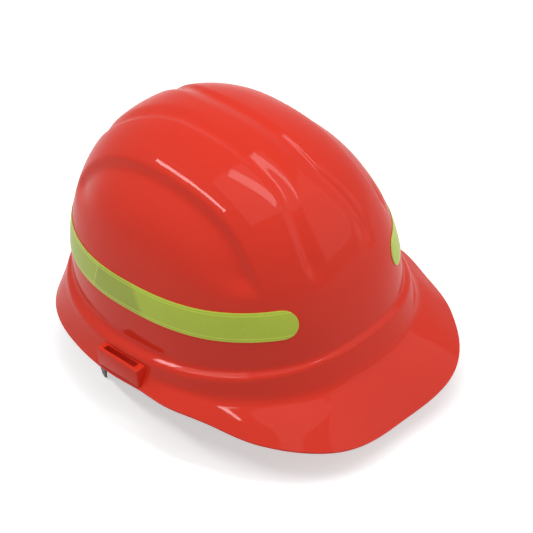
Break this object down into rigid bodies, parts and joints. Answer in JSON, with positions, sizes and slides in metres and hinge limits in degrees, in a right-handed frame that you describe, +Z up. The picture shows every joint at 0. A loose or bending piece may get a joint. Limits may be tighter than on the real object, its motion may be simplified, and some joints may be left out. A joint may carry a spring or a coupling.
{
  "type": "firefighter helmet",
  "caption": "Cap-style firefighter helmet: moulded shell with a front peak, side reflective strips, accessory slots and a ratchet suspension with headband and crown straps.",
  "frame": {"origin": "on the middle plane, under the middle of the crown, level with the brim edge beside the ears: the centre of the head opening", "axes": "+X to the wearer's left, -Y to the front where the peak is, +Z up to the crown"},
  "size_m": [0.2274, 0.2927, 0.1965],
  "materials": {
    "shell_red": "gloss injection-moulded plastic",
    "reflective_lime": "prismatic retroreflective film, lime",
    "suspension_grey": "satin dark grey plastic",
    "stud_black": "satin black plastic",
    "sweat_pad": "soft towelling pad",
    "webbing": "woven polyester webbing",
    "patch": "stitched patch",
    "crown_foam": "cloth-covered foam",
    "ratchet_black": "satin black plastic",
    "knob_black": "satin black plastic",
    "pinion_white": "natural acetal plastic",
    "steel": "plated steel",
    "spring_steel": "spring steel"
  },
  "bodies": {
    "helmet": {"shell": "shell_red", "reflective_strip_left": "reflective_lime", "reflective_strip_right": "reflective_lime", "headband": "suspension_grey", "headband_studs": "stud_black", "brow_pad": "sweat_pad", "suspension_key_front_left": "suspension_grey", "suspension_key_front_right": "suspension_grey", "suspension_key_rear_left": "suspension_grey", "suspension_key_rear_right": "suspension_grey", "crown_strap_front_left": "webbing", "crown_strap_front_right": "webbing", "crown_patch": "patch", "crown_pad": "crown_foam", "ratchet_housing": "ratchet_black", "ratchet_cover": "ratchet_black", "cover_screws": "steel", "detent_spring": "spring_steel", "nape_pad": "sweat_pad"},
    "knob": {"ratchet_knob": "knob_black", "ratchet_pinion": "pinion_white", "knob_screw": "steel"},
    "strap_left": {"toothed_strap_left": "suspension_grey"},
    "strap_right": {"toothed_strap_right": "suspension_grey"}
  },
  "joints": [
    {"name": "knob_turn", "type": "hinge", "parent": "helmet", "child": "knob", "pos_m": [0, 0.0995, -0.009], "axis": [0, -1, 0], "range_deg": [0, 140]},
    {"name": "left_strap_slide", "type": "slide", "parent": "helmet", "child": "strap_left", "axis": [-1, 0, 0], "range_m": [0, 0.0148]},
    {"name": "right_strap_slide", "type": "slide", "parent": "helmet", "child": "strap_right", "axis": [1, 0, 0], "range_m": [0, 0.0148]}
  ],
  "couplings": [
    {"joint": "left_strap_slide", "follows": "knob_turn", "m_per_rad": 0.006},
    {"joint": "right_strap_slide", "follows": "knob_turn", "m_per_rad": 0.006}
  ]
}
